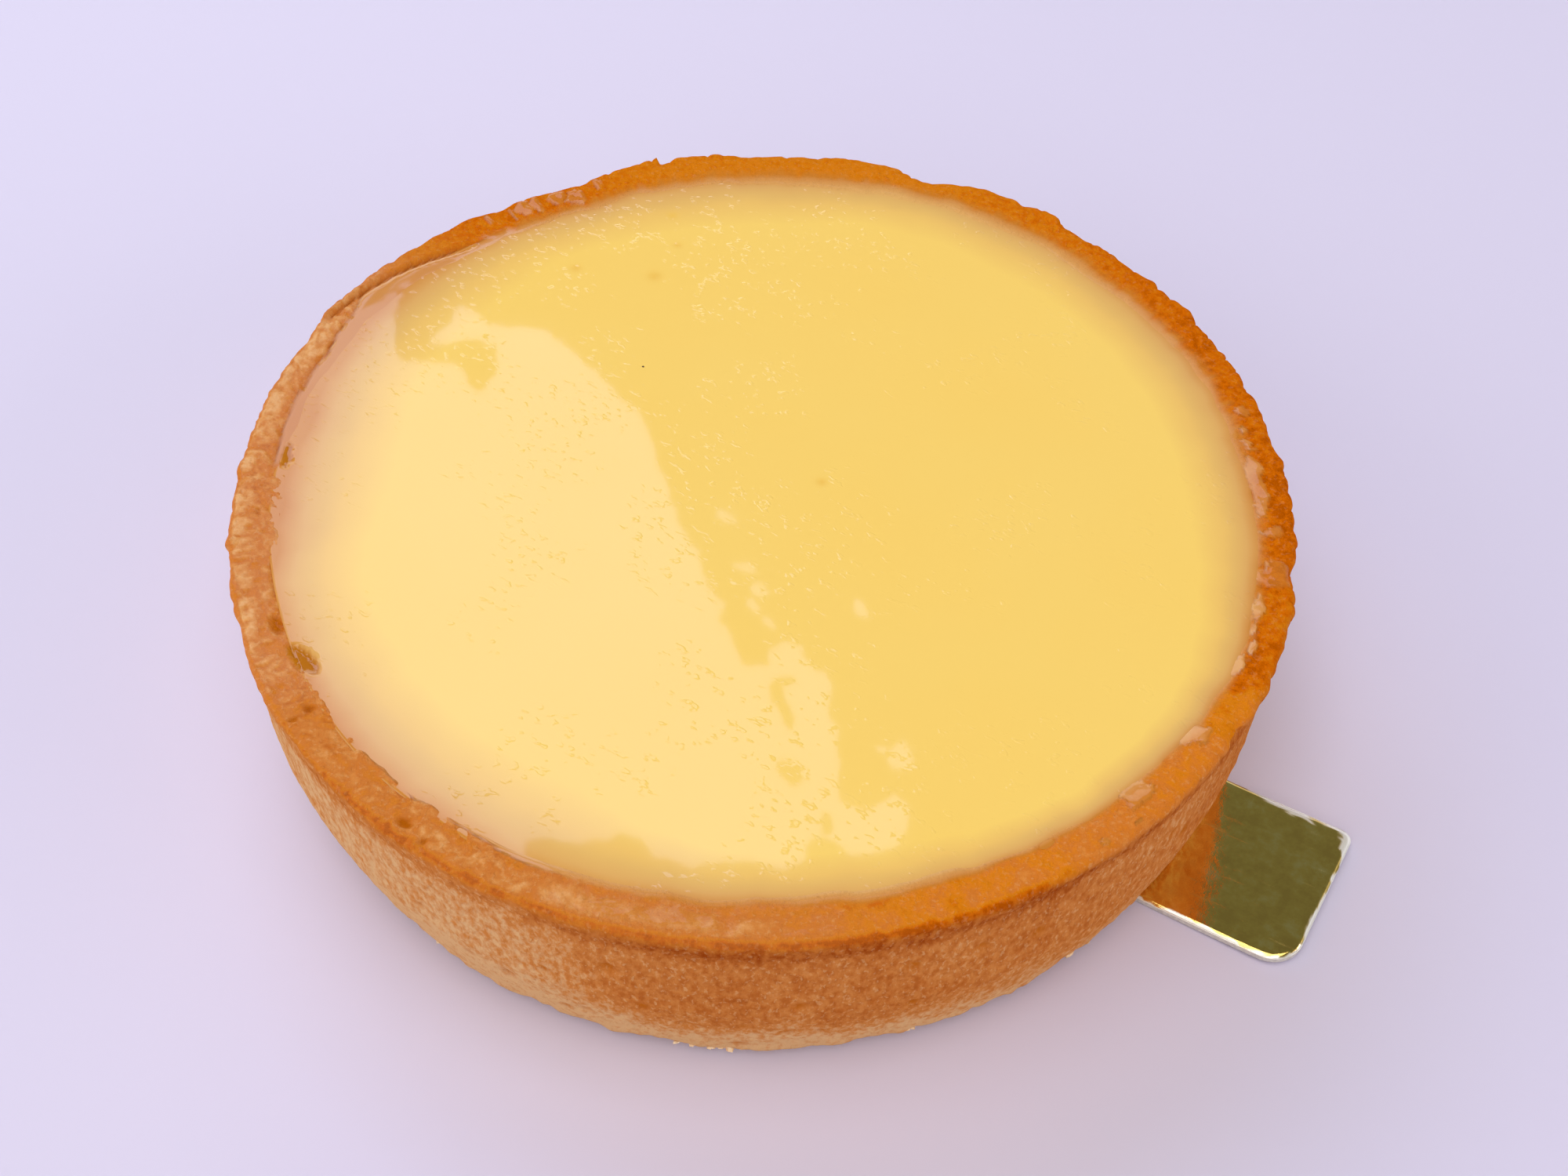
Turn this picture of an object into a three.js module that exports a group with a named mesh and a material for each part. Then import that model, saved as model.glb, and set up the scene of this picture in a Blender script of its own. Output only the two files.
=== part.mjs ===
// A single-portion lemon tart on its gold card: a thick sweet-pastry shell, filled almost to the
// brim with set lemon curd, standing on a thin round presentation card with a pull tab.
//
// Units are millimetres and +Z is up. The origin lies on the surface that the card rests on,
// below the middle of the tart. +X runs out along the card's pull tab.

import * as THREE from "three";
import { mergeVertices } from "three/addons/utils/BufferGeometryUtils.js";

// Pastry shell, a cup with a flat underside, a wall that is upright above its belly and drawn in
// to the foot below it, and a softly rounded rim
const RIM_RADIUS = 42;
const BASE_RADIUS = 39.6;
const SHELL_HEIGHT = 19.7;
const RIM_WIDTH = 4.1;
const WALL_AT_FLOOR = 3.8;
const FLOOR_THICKNESS = 4;
const BASE_ROUND = 0.8;
const BELLY_RADIUS = 41.7;
const BELLY_HEIGHT = 9.5;
const BELLY_CURVE = 1.3;
const LIP_OVERHANG = 0.3;
const LIP_DEPTH = 2.6;
const LIP_OUTER_ROUND = 0.9;
const LIP_INNER_ROUND = 1.3;
const FLOOR_FILLET = 2.2;

// Lemon filling, poured into the shell and set
const FILLING_GAP = 0.3;
const FILLING_BELOW_RIM = 0.6;
const MENISCUS_RISE = 0.3;
const MENISCUS_WIDTH = 4.5;

// Gold card, a disc hidden by the tart with one radial tab
const CARD_THICKNESS = 0.8;
const CARD_RADIUS = 38;
const TAB_REACH = 51.9;
const TAB_WIDTH = 14.3;
const TAB_CORNER_LEFT = 1.6;
const TAB_CORNER_RIGHT = 2.8;

// How finely the round forms are cut
const AROUND = 120;
const ROUND_STEPS = 4;
const WALL_STEPS = 4;
const MENISCUS_STEPS = 5;
const CARD_ARC_STEPS = 80;

const INNER_RADIUS = RIM_RADIUS - RIM_WIDTH;
const FLOOR_RADIUS = BASE_RADIUS - WALL_AT_FLOOR;
const DEGREE = Math.PI / 180;

// Points of an arc about (x, y), from one angle to another, in degrees.
function arc(x, y, radius, from, to, steps = ROUND_STEPS) {
  const points = [];
  for (let i = 0; i <= steps; i += 1) {
    const angle = (from + ((to - from) * i) / steps) * DEGREE;
    points.push(new THREE.Vector2(x + radius * Math.cos(angle), y + radius * Math.sin(angle)));
  }
  return points;
}

// 0 below `low`, 1 above `high`, and a smooth S between them.
function ease(value, low, high) {
  return THREE.MathUtils.smoothstep(value, low, high);
}

// A smooth hump in the rim's outline, centred on an angle, with a half-width in degrees.
function hump(theta, centre, halfWidth) {
  const turn = Math.abs(((theta / DEGREE - centre + 540) % 360) - 180);
  return Math.exp(-((turn / halfWidth) ** 2));
}

// How far the rim's outer edge strays from its circle: slow waves from hand-lining the ring, one
// half that leans out, swellings along it, a flattened stretch and a small chip.
function outerStray(theta) {
  const waves = 0.1 * Math.sin(3 * theta + 0.6) + 0.08 * Math.sin(7 * theta + 2.1);
  const leaning = 0.45 * hump(theta, 130, 75);
  const swellings = 0.25 * hump(theta, 57, 9) + 0.75 * hump(theta, 92, 17) + 0.35 * hump(theta, 181, 7);
  const flat = -1.1 * hump(theta, 150.5, 9.5);
  const chip = -1.1 * hump(theta, 100, 2.8);
  return waves + leaning + swellings + flat + chip;
}

// How far the rim's inner edge strays: the rim is narrow beside the tab and wide opposite it.
function innerStray(theta) {
  return 0.5 * Math.cos(theta - 5 * DEGREE) + 0.15 * Math.sin(4 * theta + 1) + 0.1 * Math.sin(9 * theta);
}

// How far the rim rises and falls round the tart.
function heightStray(theta) {
  return 0.11 * Math.sin(2 * theta + 0.9) + 0.06 * Math.sin(5 * theta + 2.4);
}

// Carries the points of the regular tart to the uneven one. The floor, the underside and the
// axis stay where they are. The stray grows up the wall, and across the wall it changes from that
// of the rim's inner edge to that of its outer edge. The filling's surface stays level.
function makeUneven(position) {
  const point = new THREE.Vector3();
  for (let i = 0; i < position.count; i += 1) {
    point.fromBufferAttribute(position, i);
    const radius = Math.hypot(point.x, point.y);
    const height = point.z - CARD_THICKNESS;
    const theta = Math.atan2(point.y, point.x);
    const lift = ease(height, FLOOR_THICKNESS, SHELL_HEIGHT - LIP_DEPTH);
    const across = ease(radius, INNER_RADIUS, RIM_RADIUS - LIP_OVERHANG);
    const shift = THREE.MathUtils.lerp(innerStray(theta), outerStray(theta), across) * lift;
    const grown = radius > 0 ? 1 + (shift * ease(radius, 0, FLOOR_RADIUS)) / radius : 1;
    const rise = heightStray(theta) * lift * ease(radius, INNER_RADIUS, INNER_RADIUS + LIP_INNER_ROUND);
    position.setXYZ(i, point.x * grown, point.y * grown, point.z + rise);
  }
}

// Turns a (radius, height) profile about the tart's axis, stands it on the card, makes it uneven.
function turned(profile) {
  const geometry = new THREE.LatheGeometry(profile, AROUND);
  geometry.rotateX(Math.PI / 2);
  geometry.translate(0, 0, CARD_THICKNESS);
  geometry.deleteAttribute("normal");
  geometry.deleteAttribute("uv");
  makeUneven(geometry.attributes.position);
  const merged = mergeVertices(geometry);
  merged.computeVertexNormals();
  return merged;
}

// The wall's inner face, from its fillet at the floor to its rounded edge, drawn in by `gap`.
function innerFace(gap) {
  const fillet = arc(
    FLOOR_RADIUS - FLOOR_FILLET - gap,
    FLOOR_THICKNESS + FLOOR_FILLET,
    FLOOR_FILLET,
    -90,
    0,
  );
  const edgeHeight = SHELL_HEIGHT - LIP_INNER_ROUND;
  return [...fillet, new THREE.Vector2(INNER_RADIUS - gap, edgeHeight)];
}

// The wall's outer face from the foot up to the belly: it swells quickly at first, then slowly.
function belly() {
  const points = [];
  for (let i = 1; i <= WALL_STEPS; i += 1) {
    const height = BASE_ROUND + ((BELLY_HEIGHT - BASE_ROUND) * i) / WALL_STEPS;
    const drawnIn = (BELLY_RADIUS - BASE_RADIUS) * (1 - height / BELLY_HEIGHT) ** BELLY_CURVE;
    points.push(new THREE.Vector2(BELLY_RADIUS - drawnIn, height));
  }
  return points;
}

function shellProfile() {
  return [
    new THREE.Vector2(0, 0),
    ...arc(BASE_RADIUS - BASE_ROUND, BASE_ROUND, BASE_ROUND, -90, 0),
    ...belly(),
    new THREE.Vector2(RIM_RADIUS - LIP_OVERHANG, SHELL_HEIGHT - LIP_DEPTH),
    ...arc(RIM_RADIUS - LIP_OUTER_ROUND, SHELL_HEIGHT - LIP_OUTER_ROUND, LIP_OUTER_ROUND, -15, 90),
    ...arc(INNER_RADIUS + LIP_INNER_ROUND, SHELL_HEIGHT - LIP_INNER_ROUND, LIP_INNER_ROUND, 90, 165),
    ...innerFace(0).reverse(),
    new THREE.Vector2(0, FLOOR_THICKNESS),
  ];
}

// The filling's surface is level in the middle and climbs a little where it wets the wall.
function fillingProfile() {
  const edgeRadius = INNER_RADIUS - FILLING_GAP;
  const level = SHELL_HEIGHT - FILLING_BELOW_RIM;
  const surface = [];
  for (let i = 1; i <= MENISCUS_STEPS; i += 1) {
    const inward = i / MENISCUS_STEPS;
    const climb = MENISCUS_RISE * (1 - inward) ** 2;
    surface.push(new THREE.Vector2(edgeRadius - MENISCUS_WIDTH * inward, level + climb));
  }
  return [
    new THREE.Vector2(0, FLOOR_THICKNESS),
    ...innerFace(FILLING_GAP).slice(0, -1),
    new THREE.Vector2(edgeRadius, SHELL_HEIGHT - LIP_INNER_ROUND),
    new THREE.Vector2(edgeRadius, level + MENISCUS_RISE),
    ...surface,
    new THREE.Vector2(0, level),
  ];
}

// Outline of the card: the disc's arc, broken by the tab with its two rounded corners.
function cardOutline() {
  const half = TAB_WIDTH / 2;
  const opening = Math.asin(half / CARD_RADIUS) / DEGREE;
  const rightX = TAB_REACH - TAB_CORNER_RIGHT;
  const leftX = TAB_REACH - TAB_CORNER_LEFT;
  return new THREE.Shape([
    ...arc(0, 0, CARD_RADIUS, opening, 360 - opening, CARD_ARC_STEPS),
    ...arc(rightX, TAB_CORNER_RIGHT - half, TAB_CORNER_RIGHT, -90, 0),
    ...arc(leftX, half - TAB_CORNER_LEFT, TAB_CORNER_LEFT, 0, 90),
  ]);
}

function cardGeometry() {
  return new THREE.ExtrudeGeometry(cardOutline(), { depth: CARD_THICKNESS, bevelEnabled: false });
}

function piece(name, geometry, color, roughness, metalness) {
  const material = new THREE.MeshStandardMaterial({ color, roughness, metalness });
  const mesh = new THREE.Mesh(geometry, material);
  mesh.name = name;
  return mesh;
}

const tart = new THREE.Group();
tart.name = "lemon_tart";
tart.add(piece("pastry_shell", turned(shellProfile()), 0xd08a4e, 0.65, 0));
tart.add(piece("lemon_filling", turned(fillingProfile()), 0xfad26a, 0.25, 0));
tart.add(piece("gold_card", cardGeometry(), 0xb99a45, 0.18, 1));

export default tart;
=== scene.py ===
# %% [markdown]
# # A glazed lemon tart on its gold card
# A small tart has three parts: a blind-baked shortcrust case, lemon curd poured almost to the brim, and a
# round gold card with a pull tab under it. A clear jelly glaze is brushed over the curd and the inner rim.
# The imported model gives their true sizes. It stays as it is, and finer surfaces are laid over it here.

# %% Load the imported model
import bpy
import numpy as np
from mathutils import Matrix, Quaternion, Vector


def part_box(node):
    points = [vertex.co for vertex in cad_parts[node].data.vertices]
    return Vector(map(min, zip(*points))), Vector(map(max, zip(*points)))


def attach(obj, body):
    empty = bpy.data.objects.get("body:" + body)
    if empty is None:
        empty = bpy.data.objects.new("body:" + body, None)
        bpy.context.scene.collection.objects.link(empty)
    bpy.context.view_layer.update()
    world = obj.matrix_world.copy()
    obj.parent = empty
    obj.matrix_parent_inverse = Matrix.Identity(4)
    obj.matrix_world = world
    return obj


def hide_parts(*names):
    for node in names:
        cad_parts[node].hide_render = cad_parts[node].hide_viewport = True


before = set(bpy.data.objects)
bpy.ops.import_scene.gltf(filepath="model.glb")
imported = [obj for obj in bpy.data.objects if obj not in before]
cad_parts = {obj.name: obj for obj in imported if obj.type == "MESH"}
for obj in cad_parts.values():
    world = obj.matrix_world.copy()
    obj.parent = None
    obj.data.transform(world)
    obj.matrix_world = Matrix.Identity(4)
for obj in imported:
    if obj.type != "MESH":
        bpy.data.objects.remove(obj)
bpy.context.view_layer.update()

# %% [markdown]
# ## Small tools
# Everything below is worked out in millimetres and turned to metres as it enters a mesh. Angles are in
# degrees, anticlockwise from the card's tab. Roughness could come from modifiers, but a displace modifier
# only knows Blender's own textures. A noise of our own, on whole arrays, can shape the mesh and its
# attributes from the same numbers.

# %% Shaping tools
MM = 0.001


def smoothstep(x, low, high):
    """0 below low, 1 above high, and 3t^2 - 2t^3 between them."""
    t = np.clip((x - low) / (high - low), 0, 1)
    return t * t * (3 - 2 * t)


def apart(angle, centre):
    """Signed distance round the circle from centre to angle, in degrees."""
    return (angle - centre + 180) % 360 - 180


def ridge(across, middle, half_width):
    """A bell across a line: exp of minus the square of the distance from its middle in half widths."""
    return np.exp(-(((across - middle) / half_width) ** 2))


def hump(angle, centre, half_width):
    """The same bell over the angle, round the circle."""
    return ridge(apart(angle, centre), 0, half_width)


def sector(angle, start, end, fade):
    """1 between two angles, fading to 0 over `fade` degrees outside them."""
    middle, half = (start + end) / 2, (end - start) / 2
    return 1 - smoothstep(np.abs(apart(angle, middle)), half, half + fade)


def noise(points, size, seed, layers=1):
    """Smooth noise from -1 to 1. Random numbers sit on the corners of cubes of that size in mm, and a
    point blends its cube's eight corners by 3t^2 - 2t^3. Each further layer is 2.1 times finer and half
    as strong."""
    rng = np.random.default_rng(seed)
    total, strength = 0, 1
    for layer in range(layers):
        table = rng.uniform(-1, 1, (32, 32, 32))
        turn = np.linalg.qr(rng.normal(size=(3, 3)))[0]
        cell = (points @ turn) * (2.1**layer / size)
        low = np.floor(cell).astype(int)
        t = cell - low
        t = t * t * (3 - 2 * t)
        for corner in np.ndindex(2, 2, 2):
            weight = np.prod(np.where(corner, t, 1 - t), axis=-1)
            i, j, k = np.moveaxis((low + corner) % 32, -1, 0)
            total = total + strength * weight * table[i, j, k]
        strength /= 2
    return total


def on_circle(r, z, turned):
    """Points from radius, height and angle in degrees."""
    t = np.radians(turned)
    return np.stack(np.broadcast_arrays(r * np.cos(t), r * np.sin(t), z), -1)


def arc(centre, radius, start, end, steps=16):
    """Points on an arc in the (radius, height) plane, angles in degrees."""
    turn = np.radians(np.linspace(start, end, steps))
    return np.stack([centre[0] + radius * np.cos(turn), centre[1] + radius * np.sin(turn)], -1)


def evenly(points, spacing):
    """The polyline's start and then a point every `spacing` mm or less, without its end."""
    along = np.r_[0, np.cumsum(np.hypot(*np.diff(points, axis=0).T))]
    at = np.linspace(0, along[-1], max(1, int(np.ceil(along[-1] / spacing))), endpoint=False)
    return np.stack([np.interp(at, along, points[:, k]) for k in (0, 1)], -1)


def ring_quads(rows, around):
    """Quads of a grid that closes on itself around: vertex (row, step) is number row * around + step."""
    row, step = np.meshgrid(np.arange(rows - 1), np.arange(around), indexing="ij")
    ahead = (step + 1) % around
    this, following = row * around, (row + 1) * around
    corners = [this + step, this + ahead, following + ahead, following + step]
    return np.stack(corners, -1).reshape(-1, 4)


def fan(ring, pole, upward):
    """Triangles from one pole vertex to a ring of vertex numbers that runs anticlockwise from above."""
    pair = [ring, np.roll(ring, -1)] if upward else [np.roll(ring, -1), ring]
    return np.stack([np.full(len(ring), pole), *pair], -1)


def make_piece(name, points, faces, slot, replaces=(), smooth=True, **attributes):
    """A mesh object at the origin from points in mm and a list of face arrays. It rides on the one body."""
    mesh = bpy.data.meshes.new(name)
    mesh.from_pydata((points * MM).tolist(), [], [f for block in faces for f in block.tolist()])
    mesh.polygons.foreach_set("use_smooth", np.full(len(mesh.polygons), smooth))
    for key, values in attributes.items():
        data = mesh.attributes.new(key, "FLOAT", "POINT").data
        data.foreach_set("value", np.ascontiguousarray(values, np.float32).ravel())
    piece = bpy.data.objects.new(name, mesh)
    bpy.context.scene.collection.objects.link(piece)
    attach(piece, "root")
    if replaces:
        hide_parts(*replaces)
    triangles = sum(len(block) * (block.shape[1] - 2) for block in faces)
    print(f"{name}: {len(points)} points, {triangles} triangles")
    return piece


# %% [markdown]
# Materials are node trees, and one function can add any node with its settings and links. A Mix node of
# colours has its factor at socket 0 and its colours at 6 and 7, and gives the mix at 2. A MapRange node
# carries the range from socket 1 to 2 over to the range from 3 to 4.

# %% Material tools
def linear(hex_colour):
    """An sRGB hex colour as linear RGBA, by the sRGB curve."""
    value = np.array([int(hex_colour[i : i + 2], 16) for i in (0, 2, 4)]) / 255
    rgb = np.where(value <= 0.04045, value / 12.92, ((value + 0.055) / 1.055) ** 2.4)
    return (*rgb.tolist(), 1.0)


def node(tree, kind, inputs=None, stops=(), **settings):
    """Adds one shader node. An input is a value, a socket, or a node that gives its first output. Stops
    are a ramp's (place, hex colour)."""
    made = tree.nodes.new("ShaderNode" + kind)
    for name, value in settings.items():
        setattr(made, name, value)
    for key, value in (inputs or {}).items():
        if isinstance(value, bpy.types.Node):
            value = value.outputs[0]
        if isinstance(value, bpy.types.NodeSocket):
            tree.links.new(value, made.inputs[key])
        else:
            made.inputs[key].default_value = value
    for k, (place, colour) in enumerate(stops):
        element = made.color_ramp.elements[k] if k < 2 else made.color_ramp.elements.new(place)
        element.position, element.color = place, linear(colour)
    return made


def new_material(name):
    """An empty node material and its tree."""
    material = bpy.data.materials.new(name)
    material.use_nodes = True
    material.node_tree.nodes.clear()
    return material, material.node_tree


def dress(piece, material, inputs):
    """Ends a material in one Principled shader with these inputs and puts it on an object."""
    tree = material.node_tree
    node(tree, "OutputMaterial", {"Surface": node(tree, "BsdfPrincipled", inputs)})
    piece.data.materials.append(material)


def per_mm(size):
    """A texture scale, in cycles per metre, for a pattern that repeats every `size` mm."""
    return 1000 / size


# %% [markdown]
# ## Camera
# The tart is seen from half above, as it is on a plate in front of us. A normal lens held close gives the
# front rim more room than the back one. The aim is a point on the rim's plane, in front of the middle.

# %% Camera
VIEW_SIDE = 29.4  # degrees round from looking along +Y
VIEW_HEIGHT = 49.94  # degrees above the horizon
VIEW_ROLL = 1.67  # degrees that the camera is turned about its own line of sight
VIEW_DISTANCE = 144.97
VIEW_LENS = 43.7  # mm, for a frame 36 mm wide
AIM = (1.83, -11.12)  # right and away from the rim's centre, as the camera sees it
RIM_UNEVEN = 0.17  # the rim's highest bump above its mean level

shell_low, shell_high = (np.array(c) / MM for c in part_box("pastry_shell"))
card_low, card_high = (np.array(c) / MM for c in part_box("gold_card"))
RIM_LEVEL = shell_high[2] - RIM_UNEVEN
SIDE = np.radians(VIEW_SIDE)
scene = bpy.context.scene


def seen(right, away, up=0.0):
    """A place given as the camera sees it, right, away and up in mm, turned to the row's own axes."""
    x = right * np.cos(SIDE) - away * np.sin(SIDE)
    y = right * np.sin(SIDE) + away * np.cos(SIDE)
    return np.stack(np.broadcast_arrays(x, y, up), -1)


tilt = np.radians(VIEW_HEIGHT)
backwards = seen(0, -np.cos(tilt), np.sin(tilt))
camera = bpy.data.objects.new("camera", bpy.data.cameras.new("camera"))
scene.collection.objects.link(camera)
scene.camera = camera
camera.data.sensor_width = 36
camera.data.lens = VIEW_LENS
camera.data.clip_start = 0.01
camera.location = Vector((seen(*AIM, RIM_LEVEL) + backwards * VIEW_DISTANCE) * MM)
camera.rotation_mode = "QUATERNION"
facing = Vector(-backwards).to_track_quat("-Z", "Y")
camera.rotation_quaternion = facing @ Quaternion((0, 0, 1), np.radians(VIEW_ROLL))
print("camera at", [round(x / MM, 1) for x in camera.location])

# %% [markdown]
# ## Light
# The glaze is a mirror for whatever is above it, so the light is planned by what each side reflects.
# One soft panel hangs behind and to the left, and the glaze shows its edge across the curd.
# The sky over the tart is a dull grey, which keeps the right half and the foil deep, and pale near the
# horizon. Large soft lights that the flat glaze doesn't mirror here do the rest.

# %% Floor and sky
FLOOR_REACH = 4000  # mm from the middle to each side
scene.view_settings.view_transform = "Standard"

floor_mesh = bpy.data.meshes.new("floor")
corners = np.array([[-1, -1, 0], [1, -1, 0], [1, 1, 0], [-1, 1, 0]]) * FLOOR_REACH * MM
floor_mesh.from_pydata(corners.tolist(), [], [(0, 1, 2, 3)])
floor = bpy.data.objects.new("floor", floor_mesh)
scene.collection.objects.link(floor)
matte, tree = new_material("matte_pale_floor")
dress(floor, matte, {"Base Color": linear("D7D0EA"), "Roughness": 0.6, "IOR": 1.45})

world = bpy.data.worlds.new("studio")
scene.world = world
world.use_nodes = True
tree = world.node_tree
tree.nodes.clear()
heading = node(tree, "TexCoord").outputs["Generated"]
upness = node(tree, "SeparateXYZ", {0: heading}).outputs["Z"]
sky_stops = [(0.0, "F2F0F6"), (0.32, "E6E4EA"), (0.52, "767B70"), (1.0, "6C7064")]
sky = node(tree, "ValToRGB", {0: upness}, sky_stops)
backdrop = node(tree, "Background", {"Color": sky, "Strength": 1.0})
node(tree, "OutputWorld", {"Surface": backdrop})
print("floor and sky ready")

# %% [markdown]
# The panel is what a window leaves in the glaze: a bright field with a broken edge. It is easiest to say
# where that edge shows on the curd. The eye sees it along one straight line that the glaze folds upwards, so
# each point is carried on along that line until it is as high as the panel. The edge could be a picture on a
# plane, but as a mesh it needs none. Islands of light lie beside the field and dark flags hang under it.

# %% Where the glaze shows the panel
LAPPING = 0.22  # how much higher the curd stands at the left than at the middle
PANEL_ABOVE = 1000  # mm over the rim
PANEL_GLOW = 3.4


def brimful(points):
    """How much higher than at the middle the curd stands in mm: a smooth rise towards the left."""
    left = -points[..., 0] * np.cos(SIDE) - points[..., 1] * np.sin(SIDE)
    return LAPPING * smoothstep(left, 2, 36)


def mirrored(points):
    """The place on the panel's plane that the glaze shows at a (right, away) point. It is the point's
    distance from the camera's foot, grown by the heights' ratio, and pushed right where the glaze leans."""
    right, away = points[:, 0], points[:, 1]
    foot = np.array([AIM[0], AIM[1] - VIEW_DISTANCE * np.cos(tilt)])
    spread = 1 + PANEL_ABOVE / (VIEW_DISTANCE * np.sin(tilt))
    lean = (brimful(seen(right - 1, away)) - brimful(seen(right + 1, away))) / 2
    on_panel = foot + (points - foot) * spread
    return on_panel + np.stack([2 * PANEL_ABOVE * lean, 0 * lean], -1)


def ragged(points):
    """An outline on the glaze in steps of 0.25 mm, swayed by noise, as waves in the jelly would do it."""
    fine = evenly(np.array(points), 0.25)
    flat = np.c_[fine, np.zeros(len(fine))]
    return fine + 0.3 * np.stack([noise(flat, 1.1, 21, 3), noise(flat, 1.1, 22, 3)], -1)


# %% The window panel
PANEL_FAR_LEFT = -150  # mm, well past the curd
DARK_BELOW = 2  # mm that the dark patches hang under the panel
PANEL_EDGE = [  # right and away in mm on the glaze, from the near side round to the far left
    (-15.2, -44), (-15.2, -34.6), (-14.2, -34.1), (-12, -34.4), (-10, -34.3), (-8.6, -33.7),
    (-7.4, -34.4), (-6.2, -35.4), (-3.7, -36.3), (-2.8, -35.7), (-0.5, -35.5), (2.3, -36.2), (3.5, -35.5),
    (4.4, -33.4), (5.8, -33.6), (7, -34.6), (8.2, -34.7), (9.6, -34.1), (10.5, -33), (11, -31.7),
    (10.7, -30.4), (10, -29.6), (9.2, -30.5), (8, -31), (6.2, -30.3), (5.9, -29), (6.1, -27.5),
    (5.9, -26), (6.2, -24.4), (5.5, -22.8), (5.3, -21), (5.2, -19.2), (4, -18.8), (3.5, -17.6),
    (3.2, -16.3), (1.7, -16.2), (0.9, -17), (1.3, -18.4), (-0.4, -18.6), (-1.2, -18.3), (-1.7, -17),
    (-2.2, -15.4), (-2.8, -14.1), (-2.7, -13), (-3.3, -12), (-4.3, -10.6), (-4.7, -9), (-5, -7.3),
    (-5.8, -5.8), (-6.7, -3.3), (-8.6, 2), (-9.3, 4.8), (-10, 6.6), (-12.6, 9.6), (-14.2, 11.7),
    (-16.2, 13.8), (-19, 16.2), (-21, 16.8), (-24.4, 17.1), (-25, 18.2), (-26.8, 19.3), (-27.5, 18.4),
    (-27.4, 17), (-28.6, 15.5), (-29.1, 14.4), (-27.4, 14.4), (-26, 14.9), (-24.7, 15.1), (-23.6, 14.6),
    (-22.9, 12.9), (-22.8, 10.6), (-23.4, 9.2), (-24.2, 8.8), (-24.9, 9.8), (-25.6, 11.4), (-26.8, 12.2),
    (-28.6, 12.4), (-30.4, 12.3), (-31.4, 13.1), (-31.9, 14.6), (-32.2, 17), (-32.3, 26), (-32.3, 26.1),
]
PATCHES = [  # right, away, half length, half width, turn in degrees, and 1 for light or 0 for dark
    (-2.8, -4.0, 0.7, 0.4, -40, 1),
    (-1.2, -9.2, 1.0, 0.45, -30, 1),
    (0.0, -11.4, 0.8, 0.6, -50, 1),
    (-0.4, -13.0, 0.7, 0.4, -60, 1),
    (0.7, -14.5, 0.9, 0.45, -55, 1),
    (7.6, -12.9, 0.9, 0.5, -60, 1),
    (10.4, -26.4, 1.3, 0.95, 80, 1),
    (9.2, -25.6, 0.5, 0.35, 0, 1),
    (1.9, -22.4, 2.3, 0.6, -68, 0),
    (2.0, -20.2, 1.1, 0.4, 10, 0),
    (2.7, -28.2, 1.3, 0.7, -50, 0),
    (5.2, -32.3, 0.9, 0.4, 75, 0),
]
around_once = np.radians(np.linspace(0, 360, 25))
circle = np.stack([np.cos(around_once), np.sin(around_once)], -1)


def patch(right, away, long, wide, turned):
    """A ragged oval: a circle stretched to its half sizes, turned and shifted to its place."""
    c, s = np.cos(np.radians(turned)), np.sin(np.radians(turned))
    return ragged(circle * (long, wide) @ np.array([(c, s), (-s, c)]) + (right, away))


far_corners = [(PANEL_FAR_LEFT, 26), (PANEL_FAR_LEFT, -44)]
parts = [np.concatenate([ragged(PANEL_EDGE), far_corners])] + [patch(*where) for *where, light in PATCHES]
lit = np.array([1] + [light for *where, light in PATCHES])
panel_points, panel_faces = [], []
for part, light in zip(parts, lit):
    first = sum(len(p) for p in panel_points)
    panel_faces.append(tuple(range(first, first + len(part)))[::-1])
    right, away = mirrored(part).T
    panel_points.append(seen(right, away, RIM_LEVEL + PANEL_ABOVE - DARK_BELOW * (1 - light)) * MM)
panel_mesh = bpy.data.meshes.new("window_panel")
panel_mesh.from_pydata(np.concatenate(panel_points).tolist(), [], panel_faces)
panel_mesh.polygons.foreach_set("material_index", 1 - lit)
panel = bpy.data.objects.new("window_panel", panel_mesh)
scene.collection.objects.link(panel)
for name, tint, strength in (("diffused_window_light", "CEDBFF", PANEL_GLOW), ("dark_flag", "6C7064", 1.0)):
    glow, tree = new_material(name)
    light = node(tree, "Emission", {"Color": linear(tint), "Strength": strength})
    node(tree, "OutputMaterial", {"Surface": light})
    panel_mesh.materials.append(glow)
print("panel parts:", len(parts))

# %% [markdown]
# Five soft boxes stand round the tart, none where the level glaze would mirror it. The overhead one lights
# the curd, the others the wall and the crust from each side. A soft box is judged by its brightness, and
# its power follows from that and its area.

# %% Lamps
def soft_light(name, right, away, up, width, height, radiance, tint):
    """A rectangular soft light, sizes in mm, turned to face the tart. Its power is radiance x pi x area."""
    lamp = bpy.data.lights.new(name, "AREA")
    lamp.shape = "RECTANGLE"
    lamp.size, lamp.size_y = width * MM, height * MM
    lamp.energy = radiance * np.pi * lamp.size * lamp.size_y
    lamp.color = linear(tint)[:3]
    thing = bpy.data.objects.new(name, lamp)
    scene.collection.objects.link(thing)
    place = seen(right, away, up) * MM
    thing.location = place
    thing.rotation_euler = Vector(place).to_track_quat("Z", "Y").to_euler()
    print(f"{name}: {lamp.energy:.1f} W")


soft_light("overhead_light", -50, -250, 1200, 1000, 900, 2.25, "FFFBF4")
soft_light("front_light", -350, -950, 850, 1000, 800, 1.4, "FFFAF0")
soft_light("left_light", -1100, -150, 520, 1100, 700, 1.4, "FFFAF0")
soft_light("right_light", 1150, -350, 420, 800, 600, 2.3, "FFF4EC")
soft_light("back_light", -500, 1800, 900, 1200, 800, 2.2, "FFFBF4")

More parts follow.
